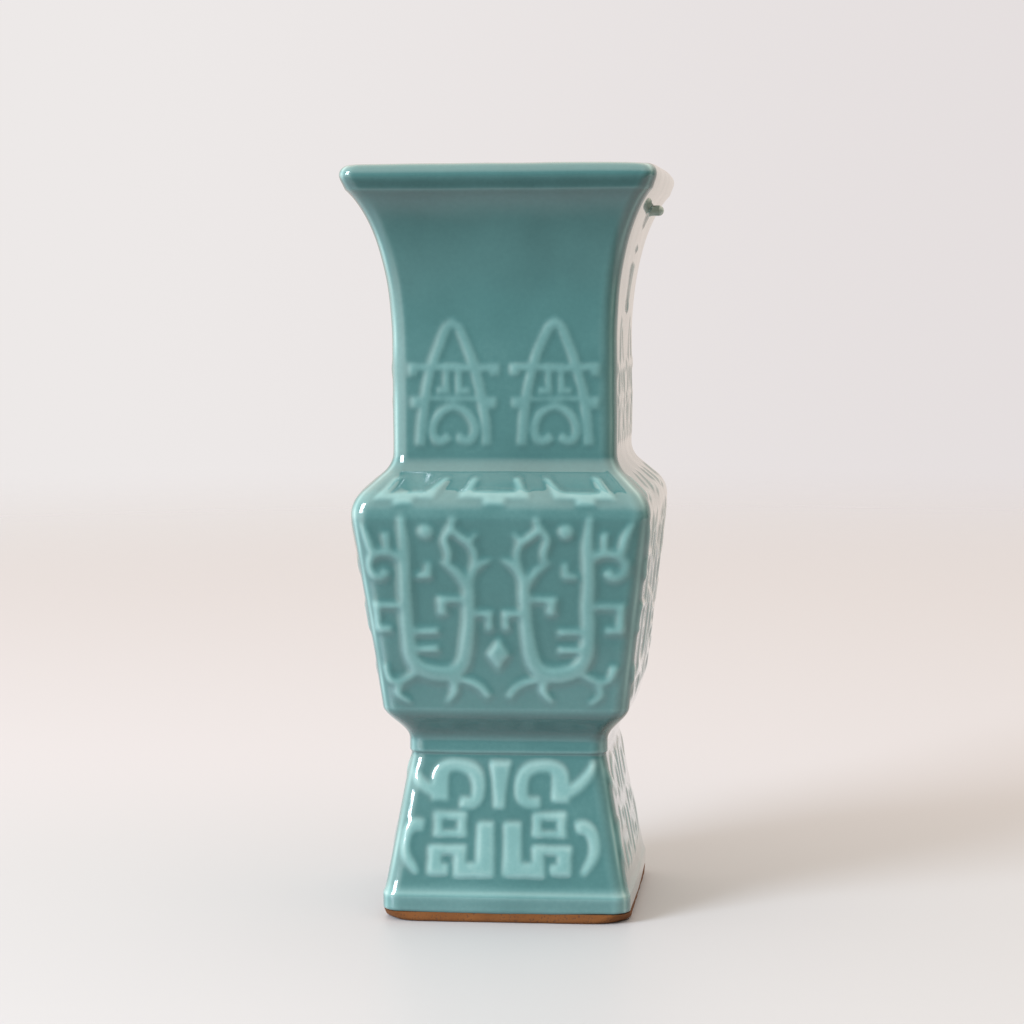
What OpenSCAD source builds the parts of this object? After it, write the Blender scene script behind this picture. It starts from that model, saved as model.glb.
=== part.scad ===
// A square porcelain vase in the shape of an ancient bronze wine beaker.
// It is slab-built: flat and bent slabs, bevelled at 45 degrees, are luted together at their upright
// corners, the sections are stacked, and low sprigged ornament is luted on before glazing.
// The origin is the middle of the underside. The front face looks along -Y.

/* [Clay] */
// Thickness of the slabs
wall = 4; // [3.2:0.1:4.6]
// Radius that softens the upright corners of the walls
corner_r = 2.5; // [0.5:0.1:3]
// How far the sprigged ornament stands proud
relief = 0.6; // [0.3:0.05:1]

/* [Foot] */
// How far the bare foot ring is set in under the plinth
ring_inset = 0.3; // [0:0.1:1]
// Height of the bare foot ring
ring_h = 2.4; // [1.6:0.1:4]
// Width of the clay in the foot ring and the plinth
ring_t = 4.6; // [4:0.1:6]
// Bevel round the underside of the foot ring
ring_bevel = 1; // [0.4:0.1:1.5]
// Width across the plinth
plinth_w = 60; // [54:0.1:72]
// Height of the plinth above the foot ring
plinth_h = 7.6; // [6:0.1:12]
// Height of the rounded part at the top of the plinth
plinth_turn_h = 3.6; // [2:0.1:5]
// How far the foot walls are set in from the plinth
foot_inset = 0.95; // [0.4:0.05:2]
// How far the foot walls are set in under the waist band
foot_top_inset = 0.3; // [0:0.1:1]
// Height of the foot walls
foot_h = 29; // [22:0.5:40]

/* [Waist] */
// Width across the floor plate, whose edge is the waist band
waist_w = 48.2; // [40:0.1:57]
// Thickness of the floor plate
waist_h = 4; // [3:0.1:7]
// Height of the groove under the waist band
groove_h = 1; // [0.6:0.1:1.5]
// Depth of the groove under the waist band
groove_d = 0.5; // [0.2:0.1:1]

/* [Belly] */
// Height of the curved underside of the belly
under_h = 9; // [7:0.5:14]
// Width across the bottom of the belly walls
belly_w = 59.5; // [56:0.1:72]
// Width across the top of the belly walls
belly_top_w = 70.8; // [64:0.1:88]
// Height of the belly walls
belly_h = 45; // [34:0.5:60]

/* [Shoulder] */
// Slope of the shoulder, in degrees from upright
shoulder_slope = 47; // [38:1:58]
// Radius of the turn from the belly to the shoulder
shoulder_r = 8; // [6:0.5:10]
// Radius of the cove from the shoulder to the neck
collar_r = 6; // [3:0.5:9]

/* [Neck] */
// Width across the upright part of the neck
neck_w = 53.8; // [44.8:0.1:58]
// Height of the upright part of the neck
neck_h = 25.8; // [20:0.5:40]
// Height at which the curve of the flare would lie flat
flare_h = 38; // [30:0.5:48]
// How far that curve would reach out by then
flare_out = 13.5; // [8:0.5:18]
// How much of the quarter curve the flare uses, in degrees
flare_turn = 71; // [60:1:76]

/* [Mouth] */
// Diameter of the rolled bead round the mouth
lip_d = 5.2; // [4.8:0.1:6.5]
// Height of the middle of the bead above the outer edge of the flare
lip_rise = 3.4; // [2.6:0.1:4]
// Radius that rounds the corners of the mouth
mouth_r = 3; // [1:0.1:5]

/* [Ornament] */
// How far the foot ornament sits off the middle
foot_shift = -1.4; // [-2:0.1:2]
// How far the belly ornament sits off the middle
belly_shift = -0.8; // [-2:0.1:2]
// How far the shoulder ornament sits off the middle
shoulder_shift = -1.2; // [-2:0.1:2]
// How far the neck ornament sits off the middle
neck_shift = 0.5; // [-1:0.1:1]
// Distance from the middle of one plantain leaf to the other
leaf_pitch = 24.1; // [22:0.1:25]
// Diameter of the dots on the belly
dot_d = 3.7; // [2:0.1:4.5]
// Diameter of the stud on the side pendants
stud_d = 2.6; // [1.5:0.1:4]
// How far that stud stands proud
stud_proud = 2.9; // [1:0.1:4]

/* [Hidden] */
$fn = 48;

glaze = "cadetblue";
sprig_glaze = "powderblue";
bare_clay = "sienna";

// Widths that follow the plinth and the waist band, so that what is luted together stays in contact
ring_w = plinth_w - 2 * ring_inset;
foot_w = plinth_w - 2 * foot_inset;
foot_top_w = waist_w - 2 * foot_top_inset;

// Heights of the joints between the sections, from the ground up
z_plinth = ring_h;
z_foot = z_plinth + plinth_h;
z_floor = z_foot + foot_h;
z_under = z_floor + waist_h;
z_belly = z_under + under_h;
z_shoulder = z_belly + belly_h;

// The turn at the top of the belly starts square to the leaning belly wall
belly_lean = atan((belly_top_w - belly_w) / 2 / belly_h);
turn_mid = [belly_top_w / 2 - shoulder_r * cos(belly_lean), z_shoulder + shoulder_r * sin(belly_lean)];
turn_end = turn_mid + shoulder_r * [cos(shoulder_slope), sin(shoulder_slope)];
cove_x = neck_w / 2 + collar_r;
slope_run = (turn_end.x - cove_x + collar_r * cos(shoulder_slope)) / tan(shoulder_slope);
z_neck = turn_end.y + slope_run + collar_r * sin(shoulder_slope);
cove_mid = [cove_x, z_neck];
z_flare = z_neck + neck_h;

// The flare ends square to its own surface, and the bead closes it
flare_tip = flare_at(flare_turn);
flare_tip_inside = flare_tip + wall * flare_inward(flare_turn);
bead_mid = [(flare_tip.x + flare_tip_inside.x) / 2, flare_tip.y + lip_rise];
mouth_w = 2 * bead_mid.x + lip_d;

// How much higher the inside of the belly's underside starts to curve
underside_lag = 1.5;
// Radii of the foot ring's and the plinth's corners, compared with those of the walls
ring_softer = 2;
plinth_softer = 1.4;
// Sizes of the panels that the ornament was drawn for
drawn_foot = [47.6, 29];
drawn_belly = [70.8, 45];
drawn_shoulder = [53.8, 15.2];
drawn_neck = [53.8, 25.8];
drawn_flare = [13.5, 38];
// Long enough to pass right through the vase
reach = 2 * (belly_top_w + 2 * flare_out);

// ---- Curves ----

function arc(mid, r, from, to, n = 6) =
    [for (i = [0:n]) let (a = from + (to - from) * i / n) mid + r * [cos(a), sin(a)]];
function ease(t) = t * t * (3 - 2 * t);
function reverse(list) = [for (i = [len(list) - 1:-1:0]) list[i]];
function flare_at(a) = [neck_w / 2 + flare_out * (1 - cos(a)), z_flare + flare_h * sin(a)];
function flare_inward(a) =
    let (n = [-flare_h * cos(a), flare_out * sin(a)]) n / norm(n);

// A smooth run through points of [x, z, width]
function smooth(p, n = 3) = concat(
    [for (i = [0:len(p) - 2], k = [0:n - 1])
        let (a = p[max(i - 1, 0)], b = p[i], c = p[i + 1], d = p[min(i + 2, len(p) - 1)], t = k / n)
        (2 * b + (c - a) * t + (2 * a - 5 * b + 4 * c - d) * t * t
            + (3 * b - a - 3 * c + d) * t * t * t) / 2],
    [p[len(p) - 1]]);

// The outline of a strip of clay laid along points of [x, z, width]
function square_to(a, b) = let (d = [b.x - a.x, b.y - a.y]) [-d.y, d.x] / norm(d);
function edge_way(p, i) =
    let (a = square_to(p[max(i - 1, 0)], p[max(i, 1)]),
         b = square_to(p[min(i, len(p) - 2)], p[min(i + 1, len(p) - 1)]))
    (a + b) / (1 + a * b);
function strip(p) = concat(
    [for (i = [0:len(p) - 1]) [p[i].x, p[i].y] + edge_way(p, i) * p[i].z / 2],
    reverse([for (i = [0:len(p) - 1]) [p[i].x, p[i].y] - edge_way(p, i) * p[i].z / 2]));
function block(x0, z0, x1, z1) = [[x0, z0], [x1, z0], [x1, z1], [x0, z1]];

// ---- Outer and inner faces of each section, as [distance from the middle, height] ----

foot_outside = [[foot_w / 2, z_foot], [foot_top_w / 2, z_floor]];
foot_inside = [for (p = foot_outside) p - [wall, 0]];

under_outside = [for (i = [0:10]) let (t = i / 10)
    [(waist_w + (belly_w - waist_w) * ease(t)) / 2, z_under + under_h * t]];
under_inside = concat([[waist_w / 2 - wall, z_under]], [for (i = [0:8]) let (t = i / 8)
    [(waist_w + (belly_w - waist_w) * ease(t)) / 2 - wall,
     z_under + underside_lag + (under_h - underside_lag) * t]]);

belly_outside = [[belly_w / 2, z_belly], [belly_top_w / 2, z_shoulder]];
belly_inside = [for (p = belly_outside) p - [wall, 0]];

shoulder_outside = concat(
    arc(turn_mid, shoulder_r, -belly_lean, shoulder_slope, 8),
    arc(cove_mid, collar_r, 180 + shoulder_slope, 180, 6));
shoulder_inside = concat(
    [[belly_top_w / 2 - wall, z_shoulder]],
    arc(turn_mid, shoulder_r - wall, -belly_lean, shoulder_slope, 6),
    arc(cove_mid, collar_r + wall, 180 + shoulder_slope, 180, 6));

neck_outside = concat([[neck_w / 2, z_neck]], [for (i = [0:12]) flare_at(flare_turn * i / 12)]);
neck_inside = concat([[neck_w / 2 - wall, z_neck]],
    [for (i = [0:12]) let (a = flare_turn * i / 12) flare_at(a) + wall * flare_inward(a)]);

// ---- Ways of building ----

// Lays a section drawn as [distance, height] along X, on the front of the vase
module along_front() {
    rotate([90, 0, -90]) linear_extrude(reach, center = true) children();
}

// The quarter of the vase that faces the front, up to the mitred corners
module front_quarter() {
    linear_extrude(reach) polygon([[0, 0], [-reach, -reach], [reach, -reach]]);
}

// Distance out to a softened corner along the diagonal
function softened(w) = w * sqrt(2) - corner_r * (sqrt(2) - 1);

// Everything inside a pair of opposite corners, where they are softened
module diagonal_limit(outside, turn) {
    half = [for (p = outside) [softened(p.x), p.y]];
    other_half = reverse([for (p = half) [-p.x, p.y]]);
    rotate(turn) along_front() polygon(concat(half, other_half));
}

// One slab of a section: 0 is the front, 90 the right, 180 the back and 270 the left
module slab(outside, inside, turn) {
    color(glaze) rotate(turn) intersection() {
        along_front() polygon(concat(outside, reverse(inside)));
        front_quarter();
        diagonal_limit(outside, 45);
        diagonal_limit(outside, -45);
    }
}

// A square plan with rounded corners
module rounded_square(w, r) {
    square([w, w - 2 * r], center = true);
    square([w - 2 * r, w], center = true);
    for (x = [-1, 1], y = [-1, 1]) translate([x, y] * (w / 2 - r)) circle(r);
}

// A square ring with the section that is drawn, mitred at the corners
module square_ring() {
    for (turn = [0:90:270]) rotate(turn) intersection() {
        along_front() children();
        front_quarter();
    }
}

// Ornament drawn on a face, cut to the face's own surface and standing proud of it
module raised(outside, proud) {
    intersection() {
        rotate([90, 0, 0]) linear_extrude(reach) children();
        along_front() polygon(concat([for (p = outside) p + [proud, 0]], reverse(outside)));
    }
}

// Fits outlines drawn for one panel to the panel as built, mirrored about its middle
module drawn(outlines, scale_x, scale_z, z, shift, mirrored = true) {
    for (side = mirrored ? [1, -1] : [1], outline = outlines)
        polygon([for (p = outline) [shift + side * scale_x * p.x, z + scale_z * p.y]]);
}

module on_foot(outlines, mirrored = true) {
    color(sprig_glaze) for (turn = [0:90:270]) rotate(turn) raised(foot_outside, relief)
        drawn(outlines, foot_top_w / drawn_foot.x, foot_h / drawn_foot.y, z_foot, foot_shift, mirrored);
}

module on_belly(outlines, mirrored = true) {
    color(sprig_glaze) for (turn = [0:90:270]) rotate(turn)
        raised(concat(belly_outside, shoulder_outside), relief)
            drawn(outlines, belly_top_w / drawn_belly.x, belly_h / drawn_belly.y, z_belly,
                belly_shift, mirrored);
}

module on_shoulder(outlines) {
    color(sprig_glaze) for (turn = [0:90:270]) rotate(turn) raised(shoulder_outside, relief)
        drawn(outlines, neck_w / drawn_shoulder.x, (z_neck - z_shoulder) / drawn_shoulder.y,
            z_shoulder, shoulder_shift);
}

module on_leaves(outlines) {
    color(sprig_glaze) for (turn = [0:90:270]) rotate(turn) raised(neck_outside, relief)
        for (side = [-1, 1])
            drawn(outlines, neck_w / drawn_neck.x, neck_h / drawn_neck.y, z_neck,
                neck_shift + side * leaf_pitch / 2 * neck_w / drawn_neck.x);
}

module on_side_necks(outlines) {
    color(sprig_glaze) for (turn = [90, 270]) rotate(turn) raised(neck_outside, relief)
        drawn(outlines, 1, flare_h / drawn_flare.y, z_flare, 0);
}

// ---- Foot ----

// Bare clay ring that the vase stands on, wiped clean of glaze
module foot_ring() {
    outside = ring_w / 2;
    color(bare_clay) intersection() {
        square_ring() polygon([
            [outside - ring_bevel, 0], [outside, ring_bevel], [outside, ring_h],
            [outside - ring_t, ring_h], [outside - ring_t, ring_bevel], [outside - ring_t + ring_bevel, 0]]);
        linear_extrude(ring_h) rounded_square(ring_w, ring_softer * corner_r);
    }
}

// Moulding that rounds over to meet the foot walls
module plinth_moulding() {
    outside = plinth_w / 2;
    turn_x = outside - foot_w / 2;
    color(glaze) intersection() {
        square_ring() polygon(concat(
            [[outside, z_plinth]],
            [for (i = [0:6]) let (t = i / 6)
                [outside - turn_x * t * t, z_foot - plinth_turn_h * (1 - t)]],
            [[foot_w / 2 - wall, z_foot], [outside - ring_t, z_foot - wall], [outside - ring_t, z_plinth]]));
        translate([0, 0, z_plinth]) linear_extrude(plinth_h)
            rounded_square(plinth_w, plinth_softer * corner_r);
    }
}

module foot_wall(turn) slab(foot_outside, foot_inside, turn);

// ---- Waist ----

// Square plate that closes the vessel; its edge shows as the waist band over a groove
module floor_plate() {
    color(glaze) {
        translate([0, 0, z_floor]) linear_extrude(groove_h)
            rounded_square(waist_w - 2 * groove_d, corner_r);
        translate([0, 0, z_floor + groove_h]) linear_extrude(waist_h - groove_h)
            rounded_square(waist_w, corner_r);
    }
}

// ---- Belly, shoulder and neck ----

module belly_underside(turn) slab(under_outside, under_inside, turn);
module belly_wall(turn) slab(belly_outside, belly_inside, turn);
module shoulder(turn) slab(shoulder_outside, shoulder_inside, turn);
module neck_wall(turn) slab(neck_outside, neck_inside, turn);

// Rolled bead that closes the ends of the neck walls
module mouth_roll() {
    cheek = lip_d / 2 * [cos(20), -sin(20)];
    color(glaze) intersection() {
        square_ring() {
            translate(bead_mid) circle(d = lip_d);
            polygon([flare_tip, bead_mid + cheek, bead_mid + [-cheek.x, cheek.y], flare_tip_inside]);
        }
        linear_extrude(reach) rounded_square(mouth_w, mouth_r);
    }
}

// ---- Foot ornament, drawn up from the bottom of the foot wall ----

// Waisted post between the two hooks
module foot_post_sprigs() {
    edge = [[1.35, 17], [1.45, 20], [1.8, 23.5], [2.8, 28]];
    on_foot([concat(edge, reverse([for (p = edge) [-p.x, p.y]]))], mirrored = false);
}

// Hooks that curl over, each with a tail to the upper corner
module foot_hook_sprigs() {
    hook = [[9.7, 18.4, 2.5], [6.7, 18.3, 2.6], [5.3, 19.8, 3], [5.3, 23.5, 3.2], [6.8, 26, 3],
        [9.8, 26.9, 2.7], [12.6, 26.6, 3], [14.3, 24.8, 3.9], [14.5, 21.5, 4.1], [14.5, 18.6, 4.1]];
    tail = [[14.6, 20.3, 3], [17.4, 21.5, 2.5], [20.2, 23.8, 2.3], [21.8, 26, 2], [22.5, 28.2, 0.8]];
    on_foot([strip(smooth(hook)), strip(smooth(tail))]);
}

// Small square rings
module foot_square_sprigs() {
    on_foot([block(7.9, 10.3, 10, 16.1), block(13.9, 10.3, 15.9, 16.1),
        block(9, 10.3, 15, 11.6), block(9, 14.4, 15, 16.1)]);
}

// Key frets that start beside the middle and turn back on themselves
module foot_fret_sprigs() {
    on_foot([block(1.1, 1.1, 5.3, 13.8), block(1.1, 1.1, 10.8, 4.2), block(7.9, 1.1, 10.8, 8.2),
        block(7.9, 6.3, 17.2, 8.2), block(13.9, 1.6, 17.2, 8.2), block(12.1, 1.6, 17.2, 3.9)]);
}

// Crescents at the outer edges, thick above and tapering below
module foot_crescent_sprigs() {
    crescent = [[18.2, 12.6, 2.6], [20.4, 12.8, 2.9], [22.3, 11.2, 2.8], [23, 8.2, 2.6], [22.3, 5.2, 2.3],
        [20.9, 3, 1.8], [19.8, 1.6, 0.8]];
    on_foot([strip(smooth(crescent))]);
}

// ---- Belly ornament, drawn up from the bottom of the belly wall ----

// A pair of U-shaped dragon bodies with forked horns, curled crests, claws and square hooks
module belly_dragon_sprigs() {
    body = [[22.2, 46, 0.6], [21.9, 43, 1.8], [21.7, 38, 2.8], [21.6, 28, 2.9], [21.3, 18, 3],
        [20.7, 12.5, 3.1], [18.6, 9.3, 3.4], [14.5, 8, 3.7], [10.8, 8.4, 3.6], [8.5, 10.6, 3.3],
        [7.5, 14.5, 3.1], [6.9, 20, 2.9], [6.7, 26, 2.8], [6.7, 30, 2.6]];
    horns = [
        [[6.7, 29.5, 2.4], [5.4, 33, 2.2], [3.4, 34.9, 1.7], [1.2, 35.8, 0.5]],
        [[6.9, 29, 2.2], [8.6, 31.9, 2.2], [11, 33.9, 1.6], [13.2, 35.1, 0.5]],
        [[5.6, 33.3, 1.7], [5, 36.6, 1.6], [6.1, 39.6, 1.7], [8.6, 41.4, 1.6], [10.6, 43.1, 1.6]],
        [[11.6, 34.6, 1.5], [11.3, 37.4, 1.7], [12.1, 40.6, 1.7], [10.6, 43.1, 1.7], [9.3, 45.8, 0.6]],
        [[6.3, 39.6, 1.5], [4.4, 41.9, 0.6]]];
    crest = [
        [[22, 35.6, 2.4], [24.6, 37, 2], [28.4, 36.9, 2.1], [30.3, 34.6, 2.2], [29.4, 32.1, 2.2],
            [27.2, 31.6, 2.2], [26, 33.2, 2.4]],
        [[25.6, 37, 1.7], [25.8, 42.2, 1.6]],
        [[29.2, 36.4, 2], [30.4, 40.6, 1.9], [32.2, 44.4, 0.7]]];
    claws = [
        [[10, 6.9, 1.8], [7, 6.2, 1.8], [4.2, 4.8, 1.8], [2.3, 2.4, 1.6]],
        [[11, 6.8, 2.3], [10.6, 3.9, 2], [12.6, 1.2, 0.8]],
        [[19.2, 8.8, 2.2], [21.4, 7.2, 1.8], [23.8, 6.2, 1.6], [26.2, 6.8, 1.6], [27.5, 10.2, 1.8]],
        [[23.4, 5.8, 1.8], [24.2, 3.2, 1.7], [21.3, 1, 0.7]]];
    square_hooks = [
        block(21, 23.8, 30, 25.2), block(28, 18.2, 30, 25.2), block(25.3, 18.2, 30, 19.8),
        block(7, 25.3, 14.1, 26.8), block(11.8, 22.4, 14.1, 26.8),
        block(1.1, 22, 6.5, 23.5), block(1.1, 18.7, 2.7, 23.5),
        block(14.2, 17.6, 21, 19.2), block(14.1, 13.3, 21, 15)];
    curls = concat([body], horns, crest, claws);
    on_belly(concat([for (c = curls) strip(smooth(c))], square_hooks));
}

module belly_diamond_sprigs() {
    on_belly([[[0, 17], [2.75, 12.9], [0, 8.7], [-2.75, 12.9]]], mirrored = false);
}

module belly_dot_sprigs() {
    dot = [16.5 * belly_top_w / drawn_belly.x, z_belly + 42.4 * belly_h / drawn_belly.y];
    color(sprig_glaze) for (turn = [0:90:270]) rotate(turn)
        raised(concat(belly_outside, shoulder_outside), relief)
            for (side = [-1, 1]) translate([belly_shift + side * dot.x, dot.y]) circle(d = dot_d);
}

// Small L-shaped marks under the dots
module belly_tick_sprigs() {
    on_belly([[[15.6, 35], [16.6, 35], [17, 32.6], [19.3, 32], [19, 31], [15.4, 31]]]);
}

// ---- Shoulder ornament, drawn up from the bottom of the shoulder ----

// Open brackets with a tab under each, three to a face
module shoulder_bracket_sprigs() {
    middle = [block(0, 5, 8.1, 6.4), [[5.2, 5.6], [8.1, 5], [5.5, 9.4], [4, 9.4]], block(0, 3.6, 2.5, 5)];
    outer = [
        [[14.3, 5], [28.3, 5], [27.2, 6.4], [13.6, 6.4]],
        [[14.3, 5], [16.9, 5.6], [12.3, 9.5], [11.1, 9.5]],
        [[25.3, 5.6], [28.3, 5], [24.2, 9.7], [22.5, 9.7]],
        block(19.2, 3.6, 23.7, 5)];
    on_shoulder(concat(middle, outer));
}

// ---- Neck ornament, drawn up from the bottom of the neck, about the middle of each leaf ----

// Upright plantain leaves, each crossed by bars that end in knobs and hung with a pair of hooks
module neck_leaf_sprigs() {
    edge = [[8, 1.8, 2.1], [7.6, 7, 2.1], [6.8, 12.8, 2.1], [5.8, 17.8, 2.1], [4.3, 22.8, 2.1],
        [2.3, 27.8, 2.1], [0, 31.2, 2.4]];
    on_leaves([strip(smooth(edge)),
        block(0, 19.3, 10.8, 21.1), block(8.6, 18.2, 10.8, 21.1),
        block(0, 12.4, 7, 13.4), block(6, 11.7, 10.2, 13.3), block(8, 10.6, 10.2, 13.3),
        block(0.65, 14.1, 2.15, 20), block(0.65, 14.1, 3.9, 15.6)]);
}

// Lotus hearts at the foot of the leaves
module neck_lotus_sprigs() {
    petal = [[0.9, 4.2, 1.8], [2.6, 3, 1.9], [4.5, 3.6, 1.9], [5.1, 6, 1.8], [4, 8.8, 1.7],
        [2, 10.5, 1.4], [0, 11.2, 1.2]];
    on_leaves([strip(smooth(petal))]);
}

// ---- Pendants on the two side faces, drawn up from the start of the flare ----

// Narrow leaf under the mouth
module pendant_leaf_sprigs() {
    on_side_necks([strip(smooth([[2, 32.8, 1], [1.8, 30.2, 1.1], [0, 27.4, 1]]))]);
}

module pendant_bead_sprigs() {
    color(sprig_glaze) for (turn = [90, 270]) rotate(turn) raised(neck_outside, relief)
        translate([0, z_flare + 22.3 * flare_h / drawn_flare.y]) circle(d = 1.9);
}

// Long drop with three ribs that run together at its point
module pendant_drop_sprigs() {
    on_side_necks([strip(smooth([[2.2, 19, 1], [2, 13, 1.1], [0, 7, 0.9]])), block(-0.5, 8, 0.5, 19)]);
}

// Round stud between the arms of the narrow leaf
module pendant_studs() {
    color(sprig_glaze) for (turn = [90, 270]) rotate(turn) raised(neck_outside, stud_proud)
        translate([0, z_flare + 31.5 * flare_h / drawn_flare.y]) circle(d = stud_d);
}

foot_ring();
plinth_moulding();
foot_wall(0);  // foot_wall_front
foot_wall(90);  // foot_wall_right
foot_wall(180);  // foot_wall_back
foot_wall(270);  // foot_wall_left
floor_plate();
belly_underside(0);  // belly_underside_front
belly_underside(90);  // belly_underside_right
belly_underside(180);  // belly_underside_back
belly_underside(270);  // belly_underside_left
belly_wall(0);  // belly_wall_front
belly_wall(90);  // belly_wall_right
belly_wall(180);  // belly_wall_back
belly_wall(270);  // belly_wall_left
shoulder(0);  // shoulder_front
shoulder(90);  // shoulder_right
shoulder(180);  // shoulder_back
shoulder(270);  // shoulder_left
neck_wall(0);  // neck_wall_front
neck_wall(90);  // neck_wall_right
neck_wall(180);  // neck_wall_back
neck_wall(270);  // neck_wall_left
mouth_roll();
foot_post_sprigs();
foot_hook_sprigs();
foot_square_sprigs();
foot_fret_sprigs();
foot_crescent_sprigs();
belly_dragon_sprigs();
belly_diamond_sprigs();
belly_dot_sprigs();
belly_tick_sprigs();
shoulder_bracket_sprigs();
neck_leaf_sprigs();
neck_lotus_sprigs();
pendant_leaf_sprigs();
pendant_bead_sprigs();
pendant_drop_sprigs();
pendant_studs();
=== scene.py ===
import math

import bpy
import numpy as np
from mathutils import Matrix, Vector


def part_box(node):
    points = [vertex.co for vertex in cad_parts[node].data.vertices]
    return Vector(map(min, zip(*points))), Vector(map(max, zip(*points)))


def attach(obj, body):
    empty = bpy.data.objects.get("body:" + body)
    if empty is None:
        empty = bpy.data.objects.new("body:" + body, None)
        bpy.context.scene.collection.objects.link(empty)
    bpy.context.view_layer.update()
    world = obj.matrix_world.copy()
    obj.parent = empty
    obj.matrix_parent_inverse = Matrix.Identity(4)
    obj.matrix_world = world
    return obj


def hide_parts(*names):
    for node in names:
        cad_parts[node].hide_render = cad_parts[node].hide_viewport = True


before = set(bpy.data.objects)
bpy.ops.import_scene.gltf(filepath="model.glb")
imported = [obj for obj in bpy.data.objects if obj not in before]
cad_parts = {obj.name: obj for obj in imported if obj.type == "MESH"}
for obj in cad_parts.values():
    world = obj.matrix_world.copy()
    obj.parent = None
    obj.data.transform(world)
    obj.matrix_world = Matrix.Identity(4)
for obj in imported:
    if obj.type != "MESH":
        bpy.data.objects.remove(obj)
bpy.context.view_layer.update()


# ---- The foot ring ----
# A square ring of bare body clay that the vase stands on. It is four strips mitred at the corners, luted
# under the plinth and wiped clean of glaze, so that the foot doesn't stick to the kiln shelf. The iron in
# the clay fires to a warm brown, darker where the glaze stops.

mm = 0.001
FINE = (190, 12)  # columns on the flat of a face and round each half corner, where the glaze shows most
COARSE = (20, 4)  # the same for insides


def half_width(node):
    return -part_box(node)[0].y


def bottom(node):
    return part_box(node)[0].z


def top(node):
    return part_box(node)[1].z


def even_rows(path, pitch):
    """Distances out and heights, spaced evenly along a path of [out, up]."""
    path = np.array(path, float)
    run = np.r_[0, np.cumsum(np.hypot(*np.diff(path, axis=0).T))]
    at = np.linspace(0, run[-1], max(2, round(run[-1] / pitch) + 1))
    return np.interp(at, run, path[:, 0]), np.interp(at, run, path[:, 1])


def arc(mid, radius, start, end, count=24):
    """Points [out, up] round an arc, from one angle in degrees to another."""
    turn = np.radians(np.linspace(start, end, count))
    return [[mid[0] + radius * math.cos(a), mid[1] + radius * math.sin(a)] for a in turn]


def round_the_vase(rows, corner, columns):
    """Rows of points right round a square plan with soft corners, starting at the left of the front face,
    and how far each point is along its own face from the middle."""
    out, up = (np.array(r)[:, None] for r in rows)
    corner = np.minimum(corner, 0.98 * out)
    flats, bends = columns
    bend = np.radians(np.linspace(0, 45, bends + 1)[1:])
    flat = np.linspace(-1, 1, flats + 1)
    core = out - corner
    corner_along, corner_out = core + corner * np.sin(bend), core + corner * np.cos(bend)
    along = np.hstack([-corner_along[:, ::-1], core * flat, corner_along])[:, :-1]
    away = np.hstack([corner_out[:, ::-1], out + 0 * flat, corner_out])[:, :-1]
    faces = []
    for c, s in [(1, 0), (0, 1), (-1, 0), (0, -1)]:
        faces.append(np.stack([c * along + s * away, s * along - c * away, up + 0 * along], -1))
    return np.hstack(faces), np.hstack([along] * 4)


def outward(ring):
    """The way out of the clay at each point of a ring of rows."""
    across = np.roll(ring, -1, 1) - np.roll(ring, 1, 1)
    way = np.cross(across, np.gradient(ring, axis=0))
    return way / np.linalg.norm(way, axis=-1, keepdims=True)


def wobble(points, size, seed):
    """A slow unevenness from about -1 to 1, as hands leave it, the same wherever pieces meet."""
    chance = np.random.default_rng(seed)
    total = 0
    for _ in range(9):
        way = chance.normal(size=3)
        way *= 2 * math.pi / (size * chance.uniform(0.7, 1.6) * np.linalg.norm(way))
        total = total + np.sin(points @ way + chance.uniform(0, 2 * math.pi))
    return total / 3


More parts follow.
